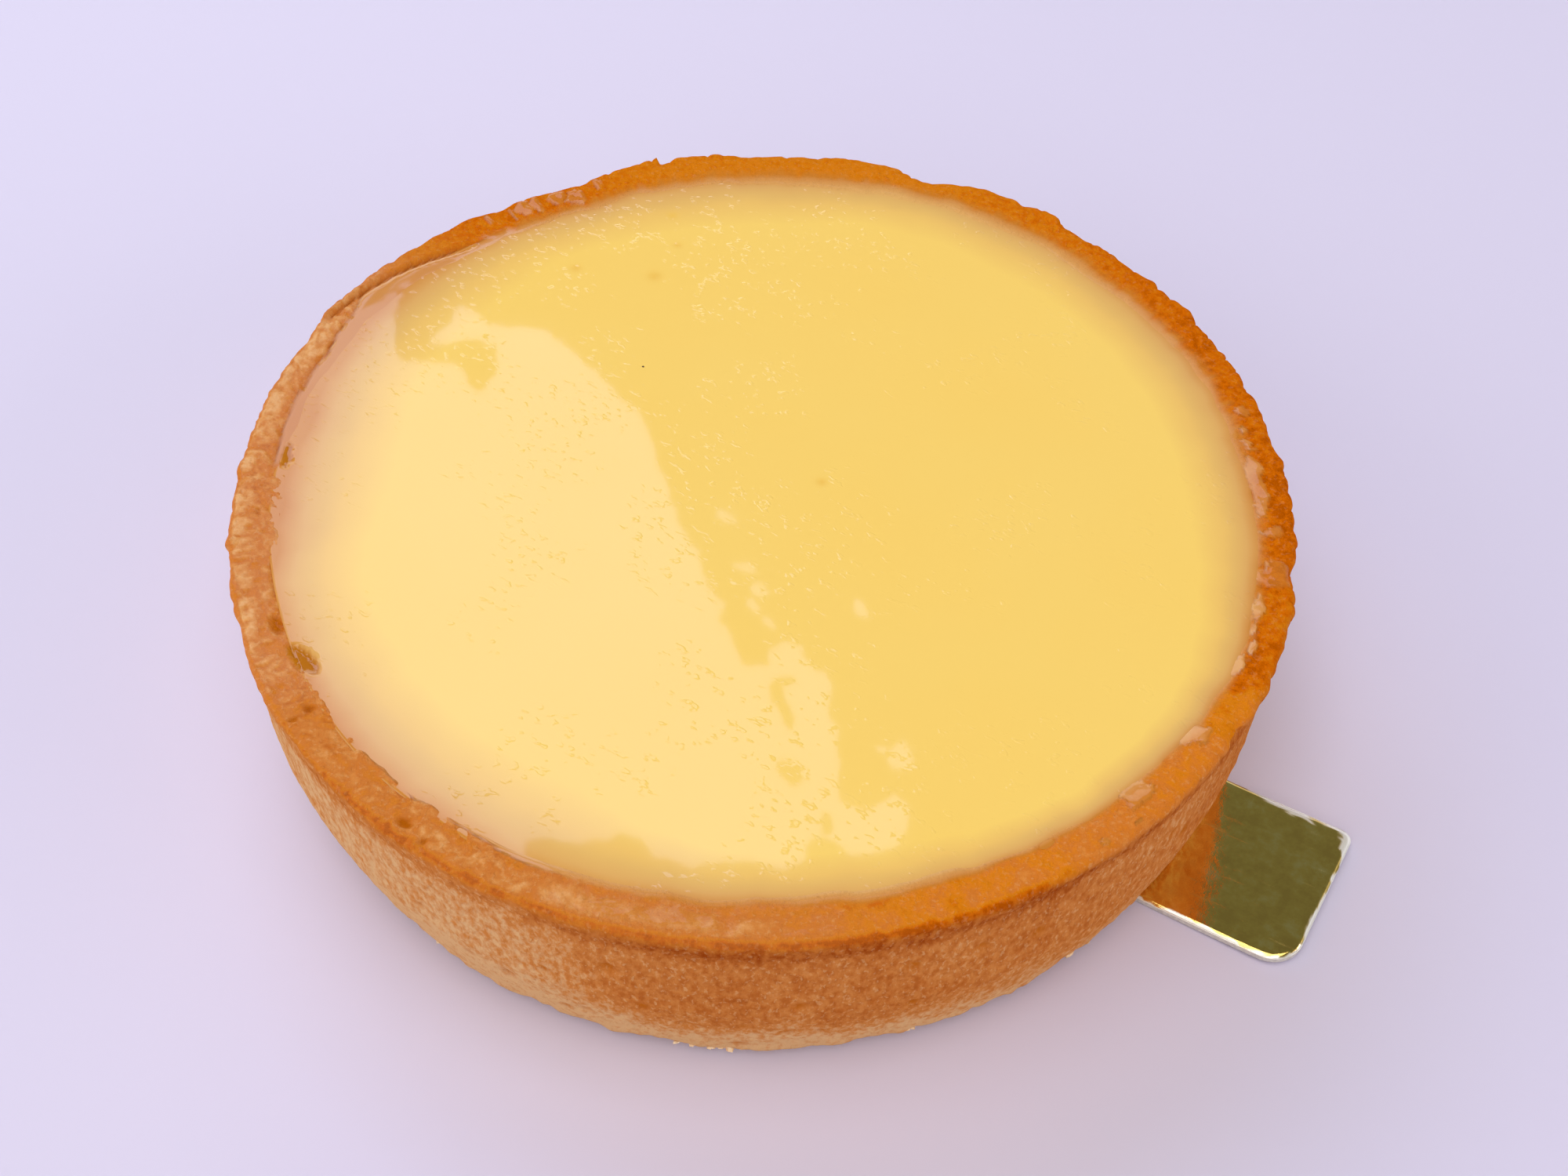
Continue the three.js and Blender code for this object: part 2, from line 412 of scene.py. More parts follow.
# %% [markdown]
# ## The shortcrust case
# The case is one turned outline: a flat base, a wall that swells from the foot to a belly and is upright
# above it, a small lip, a rim that slopes down inside, and an inner side. It could be sculpted, but an
# outline carried round a circle keeps every size that the solid has. What hands and oven did comes next:
# the wall wanders, the rim has notches, and one stretch is folded over.

# %% The outline of the case
CARD_TOP = card_high[2]
SHELL_HEIGHT = RIM_LEVEL - CARD_TOP
RIM_RADIUS = -shell_low[1]
BASE_RADIUS = RIM_RADIUS - 2.4
INNER_RADIUS = RIM_RADIUS - 4.1
FLOOR_RADIUS = BASE_RADIUS - 3.8
FLOOR_THICKNESS = 4
BASE_ROUND = 0.8
BELLY_RADIUS = RIM_RADIUS - 0.3
BELLY_HEIGHT = 9.5
BELLY_CURVE = 1.3
LIP_DEPTH = 2.4
LIP_ROUND = 0.5
LEDGE_START = RIM_RADIUS - 1.5  # inside this radius the rim slopes down to the curd
LEDGE_END = RIM_RADIUS - 4.7
FILLING_BELOW_RIM = 0.25
AROUND = 1100  # a step of 0.24 mm round the rim

base_edge = arc((BASE_RADIUS - BASE_ROUND, BASE_ROUND), BASE_ROUND, -90, 0)
up = np.linspace(BASE_ROUND, BELLY_HEIGHT, 12)
drawn_in = (BELLY_RADIUS - BASE_RADIUS) * (1 - up / BELLY_HEIGHT) ** BELLY_CURVE
belly = np.stack([BELLY_RADIUS - drawn_in, up], -1)
neck = (BELLY_RADIUS, SHELL_HEIGHT - LIP_DEPTH)
lip = arc((RIM_RADIUS - LIP_ROUND, SHELL_HEIGHT - LIP_ROUND), LIP_ROUND, -15, 90)
ledge = [(LEDGE_START, SHELL_HEIGHT), (LEDGE_END, SHELL_HEIGHT - 0.01)]
floor_edge = [(FLOOR_RADIUS, FLOOR_THICKNESS + 2), (FLOOR_RADIUS - 2, FLOOR_THICKNESS)]
stretches = [  # points of each stretch, and how far apart its rows may be in mm
    ([(8, 0), base_edge[0]], 8),
    (base_edge, 0.3),
    ([base_edge[-1], *belly, neck], 0.36),
    ([neck, *lip], 0.25),
    ([lip[-1], *ledge], 0.205),
    ([ledge[-1], *floor_edge], 5),
    ([floor_edge[-1], (8, FLOOR_THICKNESS)], 12),
]
outline = np.concatenate([evenly(np.array(points), spacing) for points, spacing in stretches])
along_outline = np.gradient(outline, axis=0)
outward = np.stack([along_outline[:, 1], -along_outline[:, 0]], -1)
outward /= np.linalg.norm(outward, axis=1, keepdims=True)
print("outline rows:", len(outline))

# %% [markdown]
# The wandering of wall and rim repeats the solid's own: slow waves round the circle, a flattened stretch,
# and a small bite out of the back. The same numbers shape the curd later, so that the two stay together.

# %% Wandering of the rim
def outer_stray(angle):
    """How far the outer edge wanders from its circle in mm: slow waves, a half that leans out, swellings,
    a flat stretch and a bite."""
    t = np.radians(angle)
    waves = 0.1 * np.sin(3 * t + 0.6) + 0.08 * np.sin(7 * t + 2.1)
    leaning = 0.45 * hump(angle, 130, 75)
    swellings = 0.25 * hump(angle, 57, 9) + 0.75 * hump(angle, 92, 17) + 0.35 * hump(angle, 181, 7)
    return waves + leaning + swellings - 1.1 * hump(angle, 150.5, 9.5) - 1.1 * hump(angle, 100, 2.8)


def inner_stray(angle):
    """How far the inner edge wanders from its circle in mm: it sits off centre, with two small waves."""
    t = np.radians(angle)
    return 0.5 * np.cos(t - np.radians(5)) + 0.15 * np.sin(4 * t + 1) + 0.1 * np.sin(9 * t)


def height_stray(angle):
    """How far the rim rises and falls in mm. At the left it is level with the curd that laps it."""
    t = np.radians(angle)
    wave = 0.11 * np.sin(2 * t + 0.9) + 0.06 * np.sin(5 * t + 2.4)
    level_with_curd = brimful(on_circle(INNER_RADIUS, 0, angle)) - FILLING_BELOW_RIM + 0.06
    lapped = sector(angle, 158, 280, 22)
    return wave * (1 - lapped) + level_with_curd * lapped


angle = np.linspace(0, 360, AROUND, endpoint=False)[None, :]
radius, height = outline[:, :1], outline[:, 1:]
lift = smoothstep(height, FLOOR_THICKNESS, SHELL_HEIGHT - LIP_DEPTH)
across = smoothstep(radius, INNER_RADIUS, BELLY_RADIUS)
shift = (inner_stray(angle) * (1 - across) + outer_stray(angle) * across) * lift
shift = shift * smoothstep(radius, 0, FLOOR_RADIUS)
rise = height_stray(angle) * lift * smoothstep(radius, INNER_RADIUS, LEDGE_START)
print(f"the outer edge wanders by {np.ptp(outer_stray(angle)):.2f} mm")

# %% [markdown]
# Inside its crown the rim slopes down to the curd as a ledge. It falls by a power of the distance inwards,
# which makes it level with the curd just where the two meet, and then it dives under the curd. The line of
# their meeting wanders a little, and runs further out at the left, where the curd was poured to the brim.

# %% The ledge where rim and curd meet
LEDGE_CURVE = 1.7  # the power
CRISP_MEETING = 38.75  # mm from the middle
LEDGE_DIVE = 0.15  # mm

rim_line = on_circle(RIM_RADIUS, 0, angle)
wander = 0.35 * noise(on_circle(INNER_RADIUS, 0, angle), 2.6, 31, 2)
crisp = sector(angle, 226, 284, 8)  # here the curd runs out to a crisp line on the crust
crisp_meeting = CRISP_MEETING - inner_stray(angle) - 0.3 * wander
meeting = (INNER_RADIUS + 0.45 - wander) * (1 - crisp) + crisp_meeting * crisp
meets_at = (LEDGE_START - meeting) / (LEDGE_START - LEDGE_END)
step_down = height_stray(angle) + FILLING_BELOW_RIM - brimful(on_circle(INNER_RADIUS, 0, angle))
step_down = np.maximum(step_down, 0.01)
inwards = np.clip((LEDGE_START - radius) / (LEDGE_START - LEDGE_END), 0, 1) * (height > SHELL_HEIGHT - 1)
dive = LEDGE_DIVE * smoothstep(inwards / meets_at, 1.0, 1.25)
ledge_drop = step_down * (inwards / meets_at) ** LEDGE_CURVE + dive
case_points = on_circle(radius + shift, height + rise - ledge_drop + CARD_TOP, angle)
case_normals = on_circle(outward[:, :1], outward[:, 1:], angle)
print(f"the rim stands {step_down.min():.2f} to {step_down.max():.2f} mm over the curd")
print("case grid:", case_points.shape[:2])

# %% [markdown]
# ## Relief of the baked dough
# Shortcrust is sandy: butter and flour bake to grains of half a millimetre. The ring mould leaves the wall
# even, and the cut edge of the rim is torn to small teeth. Where glaze was brushed it fills the sand and
# sets smooth, so the relief needs to know where the glaze is. Each map below is 0 to 1 on the same grid.

# %% Where things are on the case
place = radius + shift  # the true radius of each point
on_top = smoothstep(height, SHELL_HEIGHT - 1.6, SHELL_HEIGHT - 0.9) * (radius > LEDGE_END - 0.5)
on_top = on_top * smoothstep(RIM_RADIUS - radius - 0.5 * (SHELL_HEIGHT - height), -0.7, 0.3)
on_wall = smoothstep(radius, FLOOR_RADIUS + 2, BASE_RADIUS - 0.5) * (1 - on_top) * smoothstep(height, 0, 0.6)
under_top = smoothstep(height, SHELL_HEIGHT - 1.9, SHELL_HEIGHT - 0.7)
on_lip = smoothstep(radius, RIM_RADIUS - 1.0, RIM_RADIUS - 0.3) * under_top
print(f"top {on_top.mean():.0%}, wall {on_wall.mean():.0%} and lip {on_lip.mean():.0%} of the grid")

# %% [markdown]
# The curd thins out to a film over the ledge, and the film ends in a line of its own, as angle and radius.
# Film and bare crust meet there. One function gives how thin the curd is at any place, and the curd's own
# disc asks it too, so that colour runs on from one piece to the other.

# %% The film of curd
FILM_ENDS = [  # angle and radius where the film ends
    (0, 39.5), (15, 39.7), (22, 39.5), (30, 39.2), (40, 39.5), (60, 39.6), (75, 39.8), (100, 39.8),
    (120, 39.5), (135, 39.1), (149, 38.4), (163, 38.9), (180, 38.9), (194, 38.6), (199, 37.7),
    (214, 37.8), (223, 38.0), (228, 38.9), (264, 39.3), (276, 39.5), (284, 39.3), (300, 38.9),
    (330, 38.9), (360, 39.5),
]


def film_start(turned):
    """The radius in mm where the curd begins to thin: 33.5, less at the back and left, more at the right."""
    # The sooner start at the left darkens the curd's edge there with tan: partly thinner curd, partly
    # painted shade.
    start = 33.5 - 2.6 * sector(turned, 176, 212, 20) - 1.3 * sector(turned, 205, 275, 15)
    start = start - 1.2 * sector(turned, 118, 160, 15) + 1.2 * sector(turned, 300, 375, 15)
    return start + 1.8 * sector(turned, 336, 356, 26)


def film(points):
    """How thin the curd is: 0 where it is deep, 1 where the film ends, linear in the radius between. Where
    the sheet laps the rim, at the back left, it stays a film."""
    turned = np.degrees(np.arctan2(points[..., 1], points[..., 0])) % 360
    ends = np.interp(turned, *np.transpose(FILM_ENDS))
    starts = film_start(turned)
    flat = points * (1, 1, 0)
    sway = 0.25 * noise(flat, 2.6, 31, 2) + 0.25 * noise(flat, 9, 32)
    out = np.hypot(points[..., 0], points[..., 1]) + sway
    most = 2 - (1.06 - 0.04 * smoothstep(turned, 192, 200)) * sector(turned, 166, 207, 4)
    return np.minimum((out - starts) / (ends - starts), most)


thin = film(case_points)
streaks = noise(on_circle(RIM_RADIUS + (place - RIM_RADIUS) / 3, 0, angle), 0.7, 56, 2)
soft = sector(angle, 340, 515, 15)  # here the film ends in a soft line with streaks
film_line = thin + 0.06 * crisp + (0.07 * soft + 0.02 * crisp) * streaks
bare = smoothstep(film_line, 0.98 - 0.07 * soft, 1.05 - 0.04 * crisp + 0.09 * soft)
print(f"the film ends {min(r for _, r in FILM_ENDS)} to {max(r for _, r in FILM_ENDS)} mm from the middle")

# %% [markdown]
# At the left, jelly ran into two gaps between curd and crust and set there as amber pockets. Each is an oval
# along the rim, sunk a little. It leans away from the window, so it shows its own colour and no reflection.

# %% Pockets of clear glaze
POCKETS = [  # angle, radius, half length and half width in mm, slant
    (239.4, 38.5, 1.75, 0.8, 0.25),
    (207.4, 38.45, 1.4, 0.42, 0.05),
]
POCKET_LEAN = 0.25  # mm deeper per mm inwards


def pooled(points):
    """Two maps: 1 in the pockets and 0 outside them, and their depth in mm, which grows towards the curd."""
    most, depth = 0, 0
    for turned, r, long, wide, slant in POCKETS:
        middle, turn = on_circle(r, 0, turned), np.radians(turned)
        x, y = points[..., 0] - middle[0], points[..., 1] - middle[1]
        across, along = x * np.cos(turn) + y * np.sin(turn), y * np.cos(turn) - x * np.sin(turn)
        from_middle = np.hypot((across + slant * along) / wide, along / long)
        from_middle = from_middle + 0.12 * noise(points * (1, 1, 0), 0.7, 59)
        inside = 1 - smoothstep(from_middle, 0.8, 1.1)
        most = np.maximum(most, inside)
        depth = np.maximum(depth, POCKET_LEAN * inside * np.clip(wide - across, 0, 2 * wide))
    return most, depth


pocket, pocket_depth = pooled(case_points)
print(f"pockets up to {pocket_depth.max():.2f} mm deep")

# %% [markdown]
# At the back left a thin sheet of curd and jelly laps over the rim, up to a fold in the crust and then to an
# edge of its own. Jelly was also brushed over parts of the bare crust. A clear coat follows one map of it.

# %% The sheet over the rim, and the wet crust
FOLD_LINE = [(163, 38.6), (164.4, 38.8), (169.4, 39.9), (174.4, 40.8), (179.4, 41.4), (184.4, 41.9)]
SHEET_EDGE = [  # angle and radius, as for the fold
    (164.4, 38.8), (169.4, 39.9), (174.4, 40.8), (178.9, 41.3), (182.4, 40.4), (189.4, 39.75),
    (199.4, 39.7), (209.4, 39.3),
]
sheet_at = np.interp(angle, *np.transpose(SHEET_EDGE)) + 0.1 * noise(rim_line, 1.2, 54)
near_sheet = sector(angle, 162.5, 208, 2)
past_sheet = smoothstep(place - sheet_at, -0.15, 0.05)
sheet = near_sheet * (1 - past_sheet) * on_top
bare = bare * (1 - near_sheet) + past_sheet * near_sheet

wet_left = sector(angle, 176, 240, 8)
wet_front = sector(angle, 284, 335, 6) * (1 - smoothstep(place, 40.8, 41.3))
front_sheen = sector(angle, 283, 305, 8) * ridge(place + 0.25 * streaks, 40.7, 0.45)
film_wet = 0.2 + 0.8 * sector(angle, 160, 275, 8)
glazed = (1 - bare) * film_wet + bare * (0.2 * wet_left + 0.1 * wet_front + 0.2 * front_sheen)
glazed = np.maximum(glazed, 0.75 * sheet) * on_top
print(f"glazed share of the rim: {glazed.sum() / (on_top.sum() * AROUND):.2f}")

# %% [markdown]
# Now the dough's own surface. Its sand is fine noise, and the clods on its top are coarser noise, bent by
# another. Where a noise crosses zero there are thin lines, and these make veins, wrinkles and notches.
# All heights are in mm.

# %% Sand, waves and torn edges
warp = 0.6 * noise(case_points, 2.1, 40)[..., None]
warped_flat = case_points * (1, 1, 0) + 2 * warp
veins = smoothstep(1 - 3 * np.abs(noise(warped_flat, 2.2, 53, 2)), 0.4, 0.9)
wrinkles = 1 - 3 * np.abs(noise(case_points + warp, 0.75, 65, 2))
grit = noise(case_points, 0.85, 41, 2)
sand = 0.035 * grit + 0.02 * noise(case_points, 0.5, 42)
waves = 0.06 * noise(case_points, 9, 43)
clods = noise(case_points + warp, 1.0, 47, 2)
crumbly = 0.35 + 1.0 * sector(angle, 238, 284, 8)
notches = np.exp(-np.abs(noise(rim_line, 1.5, 44)) / 0.12)
bites = noise(rim_line, 3.2, 45, 2)
# how torn the edge is round the rim
torn = 0.6 + 0.3 * sector(angle, 140, 250, 20) + 1.0 * sector(angle, 0, 135, 20)
teeth = -torn * (0.14 * notches + 0.2 * bites + 0.05 * noise(rim_line, 0.7, 50))
foot_teeth = 0.2 * noise(rim_line, 2.2, 46, 2) + 0.1 * noise(rim_line, 0.8, 51)
foot = foot_teeth * smoothstep(height, 0, 0.3) * (1 - smoothstep(height, 0.6, 2.2))
jelly = 0.002 * noise(case_points, 1.6, 49)
relief = (
    on_wall * (1.5 * sand + waves)
    + on_top * bare * (1 - 0.8 * wet_left) * (0.9 * sand + 0.09 * crumbly * clods)
    + on_top * (1 - bare) * jelly
    + on_top * bare * wet_left * (0.04 * wrinkles + 0.02 * grit)
    + on_lip * teeth
    + foot * smoothstep(radius, BASE_RADIUS - 1.5, BASE_RADIUS - 0.3)
    - on_top * pocket_depth
)
print(f"relief from {relief.min():.2f} to {relief.max():.2f} mm")

# %% [markdown]
# Drops of jelly fell on the rim and set there as pads. Each is an oval with a wavy edge that stands a little
# proud and leans in towards the curd, which turns it to the light. Their pale colour is partly milky jelly,
# partly a painted reflection.

# %% Set drops of jelly
PADS = [  # angle, radius, length and width in mm, and how milky the drop is, which also sets a painted reflection
    (31.4, 39.6, 9.0, 1.3, 0.9),
    (39.8, 39.95, 1.0, 0.6, 1.0),
    (42.7, 40.6, 1.3, 0.9, 0.8),
    (23.6, 40.3, 1.2, 1.4, 0.8),
    (17.2, 40.3, 3.0, 2.4, 0.6),
    (18.6, 39.8, 1.2, 0.4, 1.0),
    (11.9, 39.7, 3.6, 0.8, 1.0),
    (6.7, 40.1, 1.2, 0.6, 1.0),
    (3.6, 39.5, 2.2, 0.8, 1.0),
    (352.6, 39.1, 2.2, 2.4, 0.9),
    (342.4, 39.5, 2.6, 2.1, 0.9),
    (339.9, 41.3, 0.9, 0.4, 1.0),
    (335.9, 41.1, 0.8, 0.7, 1.0),
    (292.0, 40.3, 9.0, 1.3, 0.5),
    (143.4, 40.5, 0.5, 1.8, 0.7),
    (146.9, 39.4, 1.7, 1.8, 0.8),
    (149.4, 39.9, 1.5, 2.2, 0.8),
    (152.1, 40.0, 0.6, 2.0, 0.8),
    (153.9, 40.3, 1.4, 1.5, 0.8),
    (155.8, 39.9, 0.5, 1.9, 0.8),
    (158.8, 40.8, 0.6, 1.4, 0.8),
]
PAD_HEIGHT = 0.08
PAD_SLOPE = 0.06  # mm per mm outwards
ripple = 0.5 * noise(case_points, 1.0, 52, 3)
for turned, r, length, width, milk_and_sheen in PADS:
    round_rim = np.radians(apart(angle, turned)) * r / length
    pad = 1 - smoothstep(2 * np.hypot(round_rim, (place - r) / width) + ripple, 0.92, 1.08)
    pad = pad * on_top
    relief += pad * (PAD_HEIGHT + PAD_SLOPE * np.clip(place - r, -1, 1) + 0.03 * ripple)
    glazed = np.maximum(glazed, pad * 0.8 * milk_and_sheen)
    # Pale film colour on the drops: partly milky jelly, partly a painted reflection.
    thin = thin + 0.8 * milk_and_sheen * pad * (0.9 + 0.2 * ripple - thin) * (thin > 0.8)
    bare = bare * (1 - 0.8 * milk_and_sheen * pad)
print("drops:", len(PADS))

# %% [markdown]
# Some marks are single events: bubbles that burst in the dough, pinholes in the wall, a tooth and a torn
# flake on the edge. Each is a small bowl or bump with its own place and size.

# %% Burst bubbles and scars
MARKS = [  # angle, radius, length, width, depth in mm
    (216.4, 39.8, 0.9, 0.5, 0.15),
    (233.6, 39.3, 2.2, 1.1, 0.25),
    (245.8, 39.9, 0.95, 0.6, 0.25),
    (246.2, 41.2, 0.5, 0.9, 0.2),
    (263.7, 40.75, 1.4, 0.85, 0.3),
    (266.6, 41.1, 0.45, 0.8, 0.2),
    (331.0, 39.1, 1.7, 0.7, 0.12),
]


def bowl(turned, r, length, width):
    """1 at a mark's middle, falling to 0 at its edge: an ellipse with its length round the rim."""
    round_rim = np.radians(apart(angle, turned)) * r / (length / 2)
    over = (place - r) / (width / 2)
    return 1 - smoothstep(np.sqrt(round_rim**2 + over**2), 0.55, 1.15)


pits = np.zeros_like(relief)
for turned, r, length, width, depth in MARKS:
    dent = bowl(turned, r, length, width) * on_top
    relief -= depth * dent
    pits = np.maximum(pits, dent * min(1, depth / 0.22))
FLAKE_AT = 134.9  # degrees, where it ends sharply
flake = 0.62 * on_lip * np.clip(1 - apart(angle, FLAKE_AT) / 2.2, 0, 1) * (apart(angle, FLAKE_AT) > -0.2)
tooth = 0.35 * on_lip * hump(angle, 220.4, 0.7)
relief += flake + tooth

PINHOLES = 90
rng = np.random.default_rng(51)
for _ in range(PINHOLES):
    turned, up, size = rng.uniform(0, 360), rng.uniform(1.5, SHELL_HEIGHT - 2.5), rng.uniform(0.25, 0.6)
    near = np.radians(apart(angle, turned)) * RIM_RADIUS
    hole = np.exp(-((near / size) ** 2) - ((height - up) / size) ** 2) * on_wall
    relief -= rng.uniform(0.1, 0.3) * hole
    pits = np.maximum(pits, 0.75 * hole)
print(f"{len(MARKS)} marks and {PINHOLES} pinholes, relief now down to {relief.min():.2f} mm")

# %% [markdown]
# The fold is a groove along its line with a rounded hem outside it. The sheet's own edge is a fainter
# groove, broken here and there, and thin reddish cracks run through the crust at the left.

# %% The fold at the left
folded = sector(angle, 164, 184, 1.5) * on_top
fold_at = np.interp(angle, *np.transpose(FOLD_LINE)) + 0.08 * noise(rim_line, 0.9, 57, 2)
crease = ridge(place, fold_at, 0.17) * folded
hem = ridge(place, fold_at + 0.55, 0.4) * folded
broken = 0.35 + 0.5 * smoothstep(noise(rim_line, 2.5, 55), -0.3, 0.3) + 0.4 * hump(angle, 189, 3)
sheet_groove = ridge(place, sheet_at, 0.13) * sector(angle, 180, 209, 2) * on_top * broken
relief += 0.22 * hem - 0.28 * crease - 0.12 * sheet_groove
creased = np.clip(crease + sheet_groove, 0, 1)
glazed = glazed * (1 - creased)
cracks = smoothstep(1 - 8 * np.abs(noise(warped_flat, 1.7, 63, 2)), 0.2, 0.9) * bare * on_top
cracks = cracks * smoothstep(noise(case_points, 3, 64), -0.1, 0.3) * sector(angle, 176, 275, 8)
creased = np.maximum(creased, 0.55 * cracks)
print(f"relief from {relief.min():.2f} to {relief.max():.2f} mm")

# %% [markdown]
# Browning follows the oven's heat. The rim and the band just below the lip colour most, and the foot least.
# It is one map from pale to dark, which the material turns into colour. The crust under the window is paler,
# with pale swirls and wrinkles and a paler outer rim, and duller over the left and front: that is partly its
# own colour and flour dust, partly painted sheen of the window. It is darkest at the back and right.

# %% How brown the wall is
band = ridge(height, SHELL_HEIGHT - 1.7, 1.1)
patches = 0.5 * noise(case_points, 6, 61, 2) + 0.3 * noise(case_points, 1.5, 62)
pale_foot = (0.6 - 0.35 * sector(angle, 340, 380, 25)) * (1 - smoothstep(height, 0, 11))
# The wall is paler at the left front: painted sheen of the grazing light there. It is a little darker at the
# front.
painted_sheen_side = 0.33 * sector(angle, 225, 270, 25) - 0.06 * sector(angle, 285, 325, 15)
browned_wall = 0.48 + 0.3 * band - pale_foot + 0.2 * patches - painted_sheen_side
print(f"mean browning of the wall: {browned_wall.mean():.2f}")

# %% How brown the crust's top is
TOP_BROWNING = [  # by angle, 0 for pale and 1 for dark
    (0, 0.86), (30, 0.92), (60, 0.9), (75, 0.82), (90, 0.76), (105, 0.72), (135, 0.74), (150, 0.85),
    (163, 0.85), (172, 0.7), (179, 0.26), (190, 0.34), (205, 0.37), (225, 0.37), (240, 0.36), (255, 0.37),
    (275, 0.37), (290, 0.35), (298, 0.4), (305, 0.54), (315, 0.62), (327, 0.55), (340, 0.48), (352, 0.46),
    (362, 0.86),
]
# Paler on the raised clods and grit and darker between them: partly grain, partly painted light and shade of
# the relief.
grain_and_relief_shade = 0.03 + 0.03 * sector(angle, 205, 280, 8) + 0.06 * sector(angle, 350, 395, 8)
grain_and_relief_shade = grain_and_relief_shade * (clods + 0.5 * grit)
swirls = noise(warped_flat, 1.3, 58, 3)
swirled = 0.14 * sector(angle, 176, 280, 8) + 0.16 * sector(angle, 290, 360, 8)
# At the left the swirls are partly painted sheen of the window.
browned_top = np.interp(angle, *np.transpose(TOP_BROWNING)) + 0.06 * patches - grain_and_relief_shade + swirled * swirls
# Paler along the wrinkles at the left and in the front's sheen band: painted sheen of the window. The veins
# are darker.
browned_top += (0.2 * veins - 0.12 * wrinkles) * sector(angle, 176, 275, 8) - 0.1 * front_sheen
browned_top += 0.15 * sector(angle, 270, 310, 10) * ridge(place, 39.3, 0.35)  # a dark line beside the curd
# A paler band across the front of the rim: painted sheen.
browned_top -= 0.06 * sector(angle, 270, 300, 8) * ridge(place, 40.4, 0.5)
# Paler towards the outer rim at the left: partly painted sheen of the window.
browned_top -= (0.25 + 0.2 * swirls) * smoothstep(place, 39.7, 41.5) * sector(angle, 188, 236, 10)
browned_top += 0.6 * smoothstep(place, 41.2, 41.9) * sector(angle, 258, 325, 10)  # and at the outer edge
browned_top += 0.3 * smoothstep(radius, 41.55, 41.8) * sector(angle, 176, 250, 8)
browned = np.clip(browned_wall * (1 - on_top) + browned_top * on_top, 0, 1)
# A duller pinkish brown over the left and front of the top: partly flour dust, partly painted sheen of the
# window.
dust_and_sheen = on_top * 0.28 * sector(angle, 178, 300, 20)
print(f"mean browning of the top: {browned.mean(where=on_top > 0.5):.2f}")

# %% [markdown]
# The grid is closed by a fan of triangles at the middle of the base and at the middle of the floor. Each map
# becomes an attribute of the mesh, which the material reads.

# %% The finished case
case_points = case_points + case_normals * relief[..., None]
rows = len(outline)
poles = np.array([[0, 0, CARD_TOP], [0, 0, CARD_TOP + FLOOR_THICKNESS]])
first, last = np.arange(AROUND), np.arange(AROUND) + (rows - 1) * AROUND
total = rows * AROUND


def with_poles(values):
    """A grid map as one list of numbers, with a 0 more for each of the two poles."""
    return np.r_[np.broadcast_to(values, (rows, AROUND)).ravel(), 0, 0]


case_maps = {
    "rim": on_top,
    "browned": browned,
    "glazed": glazed,
    "pit": pits,
    "crease": creased,
    "dust_and_sheen": dust_and_sheen,
    "pocket": pocket,
    "thin": thin,
    "bare": np.maximum(bare, 1 - on_top),
}
case = make_piece(
    "shortcrust_case",
    np.concatenate([case_points.reshape(-1, 3), poles]),
    [ring_quads(rows, AROUND), fan(first, total, False), fan(last, total + 1, True)],
    "pastry",
    replaces=("pastry_shell",),
    **{key: with_poles(values) for key, values in case_maps.items()},
)

# %% [markdown]
# ## Baked shortcrust, partly glazed
# Real shortcrust is matte, with pale grains of sugar and flour in a brown ground. Brushed glaze wets it, so
# it turns deeper and gets a clear coat. One Principled shader holds both: the coat follows the glaze map.
# Its colour is a ramp over browning for the wall and another for the rim, with pale grains of fine noise.
# Real grains are 0.2 mm; they are drawn at 0.34 mm, and their mottle at 0.55 mm, so that they show.

# %% Colours of the crust
GRAIN_SIZE = 0.34  # mm
MOTTLE_SIZE = 0.55  # mm
WALL_STOPS = [(0.0, "DAAC7A"), (0.35, "CB8142"), (0.65, "BA6A2E"), (1.0, "9A4410")]
RIM_STOPS = [
    (0.0, "ECB478"), (0.15, "E09C58"), (0.3, "D4843A"), (0.45, "CC742A"), (0.6, "D47A1C"),
    (0.72, "D07810"), (0.9, "C86204"), (1.0, "B05200"),
]
FILM_STOPS = [  # from deep curd to the crust under the last of the film
    (0.0, "F4CE6D"), (0.42, "E9BD69"), (0.59, "DFB267"), (0.76, "D8A562"), (0.93, "CC8A48"),
    (1.0, "C47A2C"),
]
FLOUR_AND_SHEEN, PALE_GRAIN, PIT, CAUGHT_GLAZE, CREASE = "B47446", "DDB07A", "B8620C", "B86E10", "B05A1C"

pastry, tree = new_material("shortcrust_baked_and_glazed")
place_at = node(tree, "TexCoord").outputs["Object"]
maps = {key: node(tree, "Attribute", attribute_name=key).outputs["Fac"] for key in case_maps}
print("maps of the crust:", *maps)

# %% [markdown]
# Two noises run over the crust: a mottle that shifts the browning, and pale grains laid over the colour.
# Both are weaker on the rim, and the grains are weaker where the crust is brown.

# %% Mottle, grains and the mixed colour
upright = node(tree, "Mapping", {"Vector": place_at, "Scale": (1, 1, 0.6)})
mottle_noise = {"Vector": upright, "Scale": per_mm(MOTTLE_SIZE), "Detail": 3.0, "Roughness": 0.6}
fine = node(tree, "TexNoise", mottle_noise)
grain_noise = {"Vector": upright, "Scale": per_mm(GRAIN_SIZE), "Detail": 2.0, "Roughness": 0.6}
grains = node(tree, "TexNoise", grain_noise)
rim_share = node(tree, "MapRange", {0: maps["rim"], 1: 0.0, 2: 1.0, 3: 1.0, 4: 0.45})
mottle = node(tree, "MapRange", {0: fine, 1: 0.36, 2: 0.64, 3: -0.18, 4: 0.18})
mottle = node(tree, "Math", {0: mottle, 1: rim_share}, operation="MULTIPLY")
shade = node(tree, "Math", {0: maps["browned"], 1: mottle}, operation="ADD")
wall_colour = node(tree, "ValToRGB", {0: shade}, WALL_STOPS)
